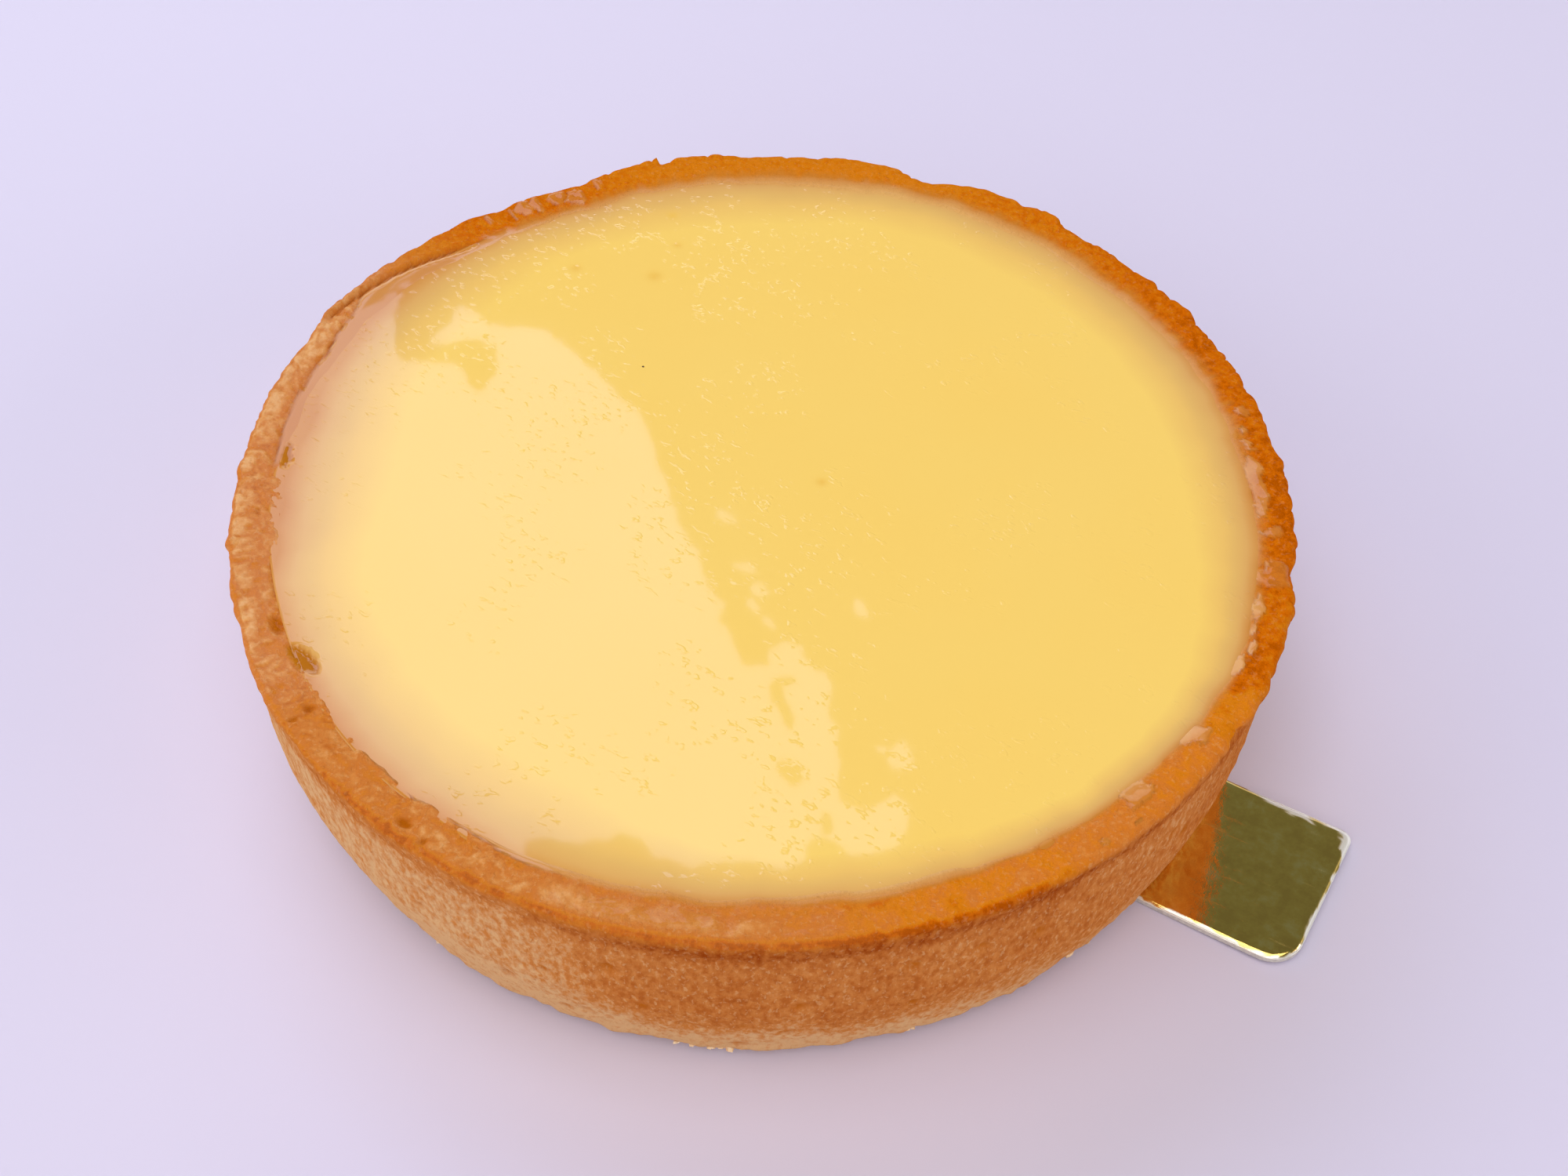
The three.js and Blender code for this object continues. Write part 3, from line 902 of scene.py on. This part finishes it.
rim_colour = node(tree, "ValToRGB", {0: shade}, RIM_STOPS)
film_colour = node(tree, "ValToRGB", {0: maps["thin"]}, FILM_STOPS)
pale_grains = node(tree, "MapRange", {0: grains, 1: 0.56, 2: 0.68, 3: 0.0, 4: 0.5})
pale_grains = node(tree, "Math", {0: pale_grains, 1: rim_share}, operation="MULTIPLY")
less_on_brown = node(tree, "MapRange", {0: maps["browned"], 1: 0.4, 2: 0.8, 3: 1.0, 4: 0.5})
pale_grains = node(tree, "Math", {0: pale_grains, 1: less_on_brown}, operation="MULTIPLY")

colour = node(tree, "Mix", {0: maps["rim"], 6: wall_colour, 7: rim_colour}, data_type="RGBA").outputs[2]
# The duller pinkish brown of flour dust and painted sheen.
colour = node(tree, "Mix", {0: maps["dust_and_sheen"], 6: colour, 7: linear(FLOUR_AND_SHEEN)}, data_type="RGBA").outputs[2]
colour = node(tree, "Mix", {0: pale_grains, 6: colour, 7: linear(PALE_GRAIN)}, data_type="RGBA").outputs[2]
colour = node(tree, "Mix", {0: maps["bare"], 6: film_colour, 7: colour}, data_type="RGBA").outputs[2]
for key, tint in (("pit", PIT), ("pocket", CAUGHT_GLAZE), ("crease", CREASE)):
    colour = node(tree, "Mix", {0: maps[key], 6: colour, 7: linear(tint)}, data_type="RGBA").outputs[2]
print("colour nodes:", len(tree.nodes))

# %% Surface of the crust
dry = node(tree, "Math", {0: 1.0, 1: maps["glazed"]}, operation="SUBTRACT")
roughened = node(tree, "Math", {0: grains, 1: fine}, operation="ADD")
roughened = node(tree, "Math", {0: roughened, 1: dry}, operation="MULTIPLY")
bump = node(tree, "Bump", {"Height": roughened, "Strength": 0.8, "Distance": 0.2 * MM})
crust = {
    "Base Color": colour,
    "Roughness": 0.62,
    "IOR": 1.45,
    "Specular IOR Level": 0.0,
    "Coat Weight": maps["glazed"],
    "Coat Roughness": 0.05,
    "Coat IOR": 1.42,
    "Normal": bump,
}
dress(case, pastry, crust)
print("material:", pastry.name)

# %% [markdown]
# ## The curd under its glaze
# Lemon curd sets flat, and the jelly brushed over it leaves slow waves that only show in a reflection.
# A polar grid would crowd its middle, so a square grid is pressed into a disc: squares become rings.
# It reaches a little into the wall, so that no gap shows, and is closed below to be a solid.

# %% The curd's disc
GRID = 300  # points along each side of the square, 0.26 mm apart on the disc
REACH = 1.5  # mm into the wall
side = np.linspace(-1, 1, GRID)
u, v = np.meshgrid(side, side, indexing="ij")
ring = np.maximum(np.abs(u), np.abs(v))
sideways = np.abs(u) >= np.abs(v)
with np.errstate(divide="ignore", invalid="ignore"):
    turn = np.where(sideways, 45 * v / u, 90 - 45 * u / v)
behind = np.where(sideways, u < 0, v < 0)
turn = np.nan_to_num(turn + 180 * behind) % 360
edge_radius = INNER_RADIUS + inner_stray(turn) + REACH
curd_radius = ring * edge_radius
curd = on_circle(curd_radius, 0, turn)
print(f"spacing at the rim {edge_radius.mean() * 2 * np.pi / (4 * GRID):.2f} mm")

# %% [markdown]
# Its level is the rim's, less what the curd stands below it, plus the rise to the left, where it was poured
# to the brim. Brushed jelly adds waves of a few thousandths of a millimetre, and air bubbles left dimples.

# %% Level, waves and bubbles of the glaze
BUBBLES = [  # right, away and half width in mm
    (-17.4, 25.3, 0.45), (-10.4, 24.6, 0.6), (-9.3, 33.0, 0.45), (-8.6, 28.9, 0.35), (4.6, 0.3, 0.4),
]
DIMPLE = 0.02  # mm deep
pocket, pocket_depth = pooled(curd)
level = RIM_LEVEL - FILLING_BELOW_RIM + brimful(curd) - pocket_depth
level = level + 0.003 * noise(curd, 15, 71) + 0.0012 * noise(curd, 5.5, 72) + 0.0004 * noise(curd, 1.3, 73)
bubble = np.zeros_like(level)
for right, away, width in BUBBLES:
    dot = np.exp(-(((curd - seen(right, away)) ** 2).sum(-1)) / width**2)
    level = level - DIMPLE * dot
    bubble = np.maximum(bubble, dot)
curd[..., 2] = level
thin = film(curd)
print(f"curd level {level.min():.2f} to {level.max():.2f} mm")

# %% The curd as a closed piece
index = np.arange(GRID * GRID).reshape(GRID, GRID)
tops = np.stack([index[:-1, :-1], index[1:, :-1], index[1:, 1:], index[:-1, 1:]], -1).reshape(-1, 4)
border = np.concatenate([index[:-1, 0], index[-1, :-1], index[:0:-1, -1], index[0, :0:-1]])
CURD_FOOT = CARD_TOP + FLOOR_THICKNESS
low_border = curd.reshape(-1, 3)[border].copy()
low_border[:, :2] *= (FLOOR_RADIUS - 1) / np.linalg.norm(low_border[:, :2], axis=1, keepdims=True)
low_border[:, 2] = CURD_FOOT
low_ring = np.arange(len(border)) + GRID * GRID
skirt = np.stack([border, low_ring, np.roll(low_ring, -1), np.roll(border, -1)], -1)
pole = GRID * GRID + len(border)
curd_all = np.concatenate([curd.reshape(-1, 3), low_border, [[0, 0, CURD_FOOT]]])


def with_skirt(values):
    """A map over the disc as one list of numbers, with the border's values again for the foot."""
    flat = values.ravel()
    return np.r_[flat, flat[border], 0]


curd_maps = {"thin": thin, "bubble": bubble, "pocket": pocket}
filling = make_piece(
    "lemon_curd",
    curd_all,
    [tops, skirt, fan(low_ring, pole, False)],
    "curd",
    replaces=("lemon_filling",),
    **{key: with_skirt(values) for key, values in curd_maps.items()},
)

# %% [markdown]
# ## Lemon curd with a jelly glaze
# Curd is an opaque egg-yolk yellow. Near the rim it thins out over the crust, so brown shows through as a
# soft tan band. The glaze is a smooth clear layer, and one low roughness gives its sharp reflection.
# The brush left tiny dashes along its path. They are bump, because they are finer than the mesh.

# %% Material of the curd
BRUSH_TURN = VIEW_SIDE - 35  # degrees
DASH_SIZE = 0.5  # mm
lemon, tree = new_material("lemon_curd_jelly_glazed")
place_at = node(tree, "TexCoord").outputs["Object"]
maps = {key: node(tree, "Attribute", attribute_name=key).outputs["Fac"] for key in curd_maps}
colour = node(tree, "ValToRGB", {0: maps["thin"]}, FILM_STOPS)
cloud = node(tree, "TexNoise", {"Vector": place_at, "Scale": per_mm(16), "Detail": 2.0})
clouded = node(tree, "MapRange", {0: cloud, 1: 0.3, 2: 0.7, 3: 0.0, 4: 0.15})
for share, tint in ((clouded, "F7C654"), (maps["bubble"], "EDBE58"), (maps["pocket"], CAUGHT_GLAZE)):
    colour = node(tree, "Mix", {0: share, 6: colour, 7: linear(tint)}, data_type="RGBA").outputs[2]

brushed = {"Vector": place_at, "Rotation": (0, 0, np.radians(BRUSH_TURN)), "Scale": (0.55, 1, 1)}
along_brush = node(tree, "Mapping", brushed)
dashes = node(tree, "TexNoise", {"Vector": along_brush, "Scale": per_mm(DASH_SIZE), "Detail": 1.0})
dash_spots = node(tree, "MapRange", {0: dashes, 1: 0.62, 2: 0.72})
where = node(tree, "TexNoise", {"Vector": place_at, "Scale": per_mm(9), "Detail": 2.0})
here = node(tree, "MapRange", {0: where, 1: 0.46, 2: 0.58})
dashed = node(tree, "Math", {0: dash_spots, 1: here}, operation="MULTIPLY")
bump = node(tree, "Bump", {"Height": dashed, "Strength": 1.0, "Distance": 0.018 * MM})
dress(filling, lemon, {"Base Color": colour, "Roughness": 0.03, "IOR": 1.45, "Normal": bump})
print("material:", lemon.name)

# %% [markdown]
# ## The gold card
# The card is board with foil pressed on it, die-cut to a disc with a tab. A cut edge is a little rounded and
# its foil wears off, most at the tab's far corner; a near-white line along the cut is also a painted
# highlight. Rings that shrink from the cut outline to the middle give a clean top and bottom, and fine rows
# near the edge let the foil bend down. The tab curls up a little.

# %% Outline and rings of the card
TAB_REACH = card_high[0]
TAB_WIDTH = 14.3
CARD_RADIUS = -card_low[0]
TAB_CORNERS = (2.6, 1.0)  # at the front side and at the far side
root = np.sqrt(CARD_RADIUS**2 - (TAB_WIDTH / 2) ** 2)
root_angle = np.degrees(np.arctan2(TAB_WIDTH / 2, root))
half = TAB_WIDTH / 2
near_corner = arc((TAB_REACH - TAB_CORNERS[0], -half + TAB_CORNERS[0]), TAB_CORNERS[0], -90, 0)
far_corner = arc((TAB_REACH - TAB_CORNERS[1], half - TAB_CORNERS[1]), TAB_CORNERS[1], 0, 90)
disc = arc((0, 0), CARD_RADIUS, root_angle, 360 - root_angle, 400)
cut = np.concatenate(
    [
        evenly(disc, 0.6),
        evenly(np.array([disc[-1], *near_corner]), 0.25),
        evenly(np.array([near_corner[-1], *far_corner]), 0.25),
        evenly(np.array([far_corner[-1], disc[0]]), 0.25),
    ]
)
along_cut = np.roll(cut, -1, 0) - np.roll(cut, 1, 0)
out_of_cut = np.stack([along_cut[:, 1], -along_cut[:, 0]], -1)
out_of_cut /= np.linalg.norm(out_of_cut, axis=1, keepdims=True)
print("card outline points:", len(cut))

# %% Rings from the cut to the middle
CARD_THICKNESS = card_high[2] - card_low[2]
FOIL_LEVEL = CARD_THICKNESS - 0.03  # the middle of its slight buckling
EDGE_DROP = 0.2  # how far the foil bends down at the cut
EDGE_SOFT = 0.5  # over how many mm it bends
CURL = 0.0025  # per mm: the tab rises by this times the square of the distance past the disc
scales = np.concatenate([1 - 0.011 * np.linspace(0, 1, 7) ** 1.5, np.linspace(0.985, 0.72, 36), [0.6, 0.3]])
face_points = scales[:, None, None] * cut
from_cut = np.min(np.linalg.norm(face_points[:, :, None] - cut[None, None], axis=-1), axis=-1)
flat_points = np.concatenate([face_points, np.zeros((*face_points.shape[:2], 1))], -1)
buckled = 0.03 * noise(flat_points, 7, 81) + 0.01 * noise(flat_points, 2.6, 82, 2)
bent_down = EDGE_DROP * (1 - smoothstep(from_cut, 0, EDGE_SOFT)) ** 2
top_height = FOIL_LEVEL - bent_down + buckled * smoothstep(from_cut, 0, 1.5)
top_points = np.concatenate([face_points, np.minimum(top_height, CARD_THICKNESS)[..., None]], -1)
LOW_ROWS = [  # scale, inset and height of the rows below the foil, from the underside up
    (0.5, 0, 0), (0.9, 0, 0), (1, 0.1, 0), (1, 0, 0.08), (1, 0, 0.3), (1, 0.02, 0.5),
]
low_points = [np.c_[cut * scale - out_of_cut * inset, 0 * cut[:, 0] + up] for scale, inset, up in LOW_ROWS]
card_points = np.concatenate([np.array(low_points), top_points])
card_points[..., 2] += CURL * np.maximum(card_points[..., 0] - CARD_RADIUS, 0) ** 2
print(f"the foil lies {top_points[..., 2].min():.2f} to {top_points[..., 2].max():.2f} mm up")

# %% [markdown]
# The foil wears off in a narrow, uneven line along the cut, and in a wider one at the tab's far corner. The
# line is also a painted highlight of the foil's bent edge. The map of it is 1 where the edge is painted
# near-white.

# %% The worn edge and the closed card
card_rows, side_rows = len(card_points), len(LOW_ROWS)
far_side = smoothstep(flat_points[..., 1], 4, 7) * smoothstep(flat_points[..., 0], 40, 50)
wear_width = 0.1 + (0.12 + 0.6 * far_side) * np.clip(0.3 + 2 * noise(flat_points, 2.6, 84, 2), 0, 1)
# Near-white along the cut: partly worn foil, partly a painted highlight of the bent edge.
wear = 1 - smoothstep(from_cut + 0.2 * noise(flat_points, 0.9, 83, 2) - wear_width, -0.04, 0.06)
wear = np.concatenate([np.zeros((side_rows, len(cut))), wear])
last = np.arange(len(cut)) + (card_rows - 1) * len(cut)
total = card_rows * len(cut)
card = make_piece(
    "foil_card",
    np.concatenate([card_points.reshape(-1, 3), [[0, 0, 0], [0, 0, FOIL_LEVEL]]]),
    [ring_quads(card_rows, len(cut)), fan(np.arange(len(cut)), total, False), fan(last, total + 1, True)],
    "gold_foil",
    replaces=("gold_card",),
    wear=np.r_[wear.ravel(), 0, 0],
)

# %% [markdown]
# ## Gold foil and its board
# The foil is a mirror of gold-coloured metal, so it is metallic with low roughness, and what it shows is the
# dull sky and the tart's own wall. Board fibres press through it as a faint orange-peel, which frays the
# edge of each reflection, and its lacquer varies from pale to deeper gold. Along the cut a near-white line
# is painted, whiter than the board: partly worn foil, partly a painted highlight of the bent edge. Real
# fibres are 0.02 mm thick; their tangle is drawn at 0.8 and at 1.6 mm to show.

# %% Material of the foil
foil, tree = new_material("pressed_gold_foil_worn_glinting_edges")
place_at = node(tree, "TexCoord").outputs["Object"]
worn_and_glinting = node(tree, "Attribute", attribute_name="wear").outputs["Fac"]
peel = node(tree, "TexNoise", {"Vector": place_at, "Scale": per_mm(0.8), "Detail": 4.0, "Roughness": 0.65})
bump = node(tree, "Bump", {"Height": peel, "Strength": 1.0, "Distance": 0.016 * MM})
one_way = node(tree, "Mapping", {"Vector": place_at, "Rotation": (0, 0, 0.5), "Scale": (0.12, 1, 1)})
scratches = node(tree, "TexNoise", {"Vector": one_way, "Scale": per_mm(0.45), "Detail": 2.0})
scratched = node(tree, "MapRange", {0: scratches, 1: 0.6, 2: 0.75, 3: 0.07, 4: 0.3})
dimples = node(tree, "TexNoise", {"Vector": place_at, "Scale": per_mm(1.6), "Detail": 4.0, "Roughness": 0.7})
tarnish_stops = [(0.38, "E4C06A"), (0.54, "F0CE72"), (0.68, "F6DC90")]
tarnish = node(tree, "ValToRGB", {0: dimples}, tarnish_stops)
# Where worn, near-white F4F2F0, whiter than the board: partly bare board, partly a painted highlight.
colour = node(tree, "Mix", {0: worn_and_glinting, 6: tarnish, 7: linear("F4F2F0")}, data_type="RGBA").outputs[2]
metallic = node(tree, "MapRange", {0: worn_and_glinting, 1: 0.0, 2: 1.0, 3: 1.0, 4: 0.35})
dress(card, foil, {"Base Color": colour, "Metallic": metallic, "Roughness": scratched, "Normal": bump})
print("material:", foil.name)

# %% [markdown]
# The underside is bare grey-white board: matte, with soft darker fibres, drawn at 0.4 mm so that they show.

# %% Material of the board
board, tree = new_material("grey_white_paperboard")
place_at = node(tree, "TexCoord").outputs["Object"]
fibres = node(tree, "TexNoise", {"Vector": place_at, "Scale": per_mm(0.4), "Detail": 5.0, "Roughness": 0.7})
pulp = node(tree, "ValToRGB", {0: fibres}, [(0.35, "B9B2AC"), (0.65, "D8D2CC")])
bump = node(tree, "Bump", {"Height": fibres, "Strength": 0.6, "Distance": 0.03 * MM})
dress(card, board, {"Base Color": pulp, "Roughness": 0.85, "IOR": 1.45, "Normal": bump})
quads = (card_rows - 1) * len(cut)
slots = np.zeros(len(card.data.polygons), np.int32)
slots[: (side_rows - 1) * len(cut)] = 1
slots[quads : quads + len(cut)] = 1
card.data.polygons.foreach_set("material_index", slots)
print("faces of foil and board:", int((slots == 0).sum()), int((slots == 1).sum()))

# %% [markdown]
# ## Crumbs and specks
# Where the foot broke a little, crumbs lie against it. They are a few dozen, so each is a real little stone:
# a ball of twenty points whose radii are drawn at random, all in one mesh. Specks are such stones, pressed
# flat and burnt.

# %% A heap of small stones
STONE_RINGS, STONE_SIDES = 3, 6


def stones(middles, sizes, flat, rng):
    """Points and faces of many small stones. Each is a ball of three rings of six points and two poles, with
    radii from 0.65 to 1.25 of its size, pressed to `flat` of its height and turned by a random angle."""
    polar = np.radians(np.linspace(0, 180, STONE_RINGS + 2)[1:-1])[:, None]
    turned = np.radians(np.arange(STONE_SIDES) * 360 / STONE_SIDES)[None, :]
    ball = on_circle(np.sin(polar), np.cos(polar), np.degrees(turned))
    ball = np.concatenate([ball[::-1].reshape(-1, 3), [[0, 0, -1], [0, 0, 1]]])
    count, each = len(middles), len(ball)
    shape = ball[None] * rng.uniform(0.65, 1.25, (count, each, 1)) * sizes[:, None, None]
    spin = rng.uniform(0, 2 * np.pi, count)[:, None]
    x = shape[..., 0] * np.cos(spin) - shape[..., 1] * np.sin(spin)
    y = shape[..., 0] * np.sin(spin) + shape[..., 1] * np.cos(spin)
    points = np.stack([x, y, shape[..., 2] * flat], -1) + middles[:, None]
    bottom, top = STONE_RINGS * STONE_SIDES, STONE_RINGS * STONE_SIDES + 1
    last_ring = np.arange(STONE_SIDES) + (STONE_RINGS - 1) * STONE_SIDES
    bottom_fan, top_fan = fan(np.arange(STONE_SIDES), bottom, False), fan(last_ring, top, True)
    blocks = [ring_quads(STONE_RINGS, STONE_SIDES), bottom_fan, top_fan]
    first_of = (np.arange(count) * each)[:, None, None]
    return points.reshape(-1, 3), [(block[None] + first_of).reshape(-1, block.shape[1]) for block in blocks]


def strew(name, middles, sizes, flat, rng, material_name, tone_size, tones, roughness):
    """One mesh of small stones, with a matte material whose two tones follow noise of tone_size mm."""
    points, faces = stones(middles, sizes, flat, rng)
    piece = make_piece(name, points, faces, "pastry", smooth=False)
    material, tree = new_material(material_name)
    place_at = node(tree, "TexCoord").outputs["Object"]
    tone = node(tree, "TexNoise", {"Vector": place_at, "Scale": per_mm(tone_size)})
    mottled = node(tree, "ValToRGB", {0: tone}, tones)
    dress(piece, material, {"Base Color": mottled, "Roughness": roughness, "IOR": 1.45})


# %% Crumbs at the foot
CLUSTERS = [  # angle, spread round the foot in mm, how many, size in mm
    (296.7, 1.0, 8, 0.36),
    (292.6, 0.8, 4, 0.26),
    (317.3, 0.3, 2, 0.26),
    (340.2, 0.8, 5, 0.32),
    (350.4, 0.2, 1, 0.22),
    (262.0, 0.5, 2, 0.2),
    (95.0, 1.0, 4, 0.3),
    (188.0, 0.8, 3, 0.28),
]
rng = np.random.default_rng(91)
middles, sizes = [], []
for turned, spread, count, size in CLUSTERS:
    grown = size * rng.uniform(0.55, 1.15, count)
    at = turned + np.degrees(rng.normal(0, spread, count) / BASE_RADIUS)
    out = BASE_RADIUS - 0.35 + rng.uniform(0, 0.3, count)
    middles.append(on_circle(out, CARD_TOP + 0.15 + 0.3 * grown, at))
    sizes.append(grown)
middles, sizes = np.concatenate(middles), np.concatenate(sizes)
crumb_tones = [(0.35, "E3B27C"), (0.6, "F6DDB8")]
strew("loose_crumbs", middles, sizes, 0.85, rng, "dry_shortcrust_crumb", 0.7, crumb_tones, 0.8)

# %% Two dark specks
curd_speck = seen(-10.6, 13.0, RIM_LEVEL - FILLING_BELOW_RIM)
rim_speck = on_circle(RIM_RADIUS - 0.15, RIM_LEVEL - 0.1, 59.0)
middles, sizes = np.array([curd_speck, rim_speck]), np.array([0.16, 0.2])
rng = np.random.default_rng(92)
burnt_tones = [(0.3, "2A1208"), (0.7, "5C3212")]
strew("burnt_specks", middles, sizes, 0.5, rng, "burnt_crumb", 0.2, burnt_tones, 0.7)
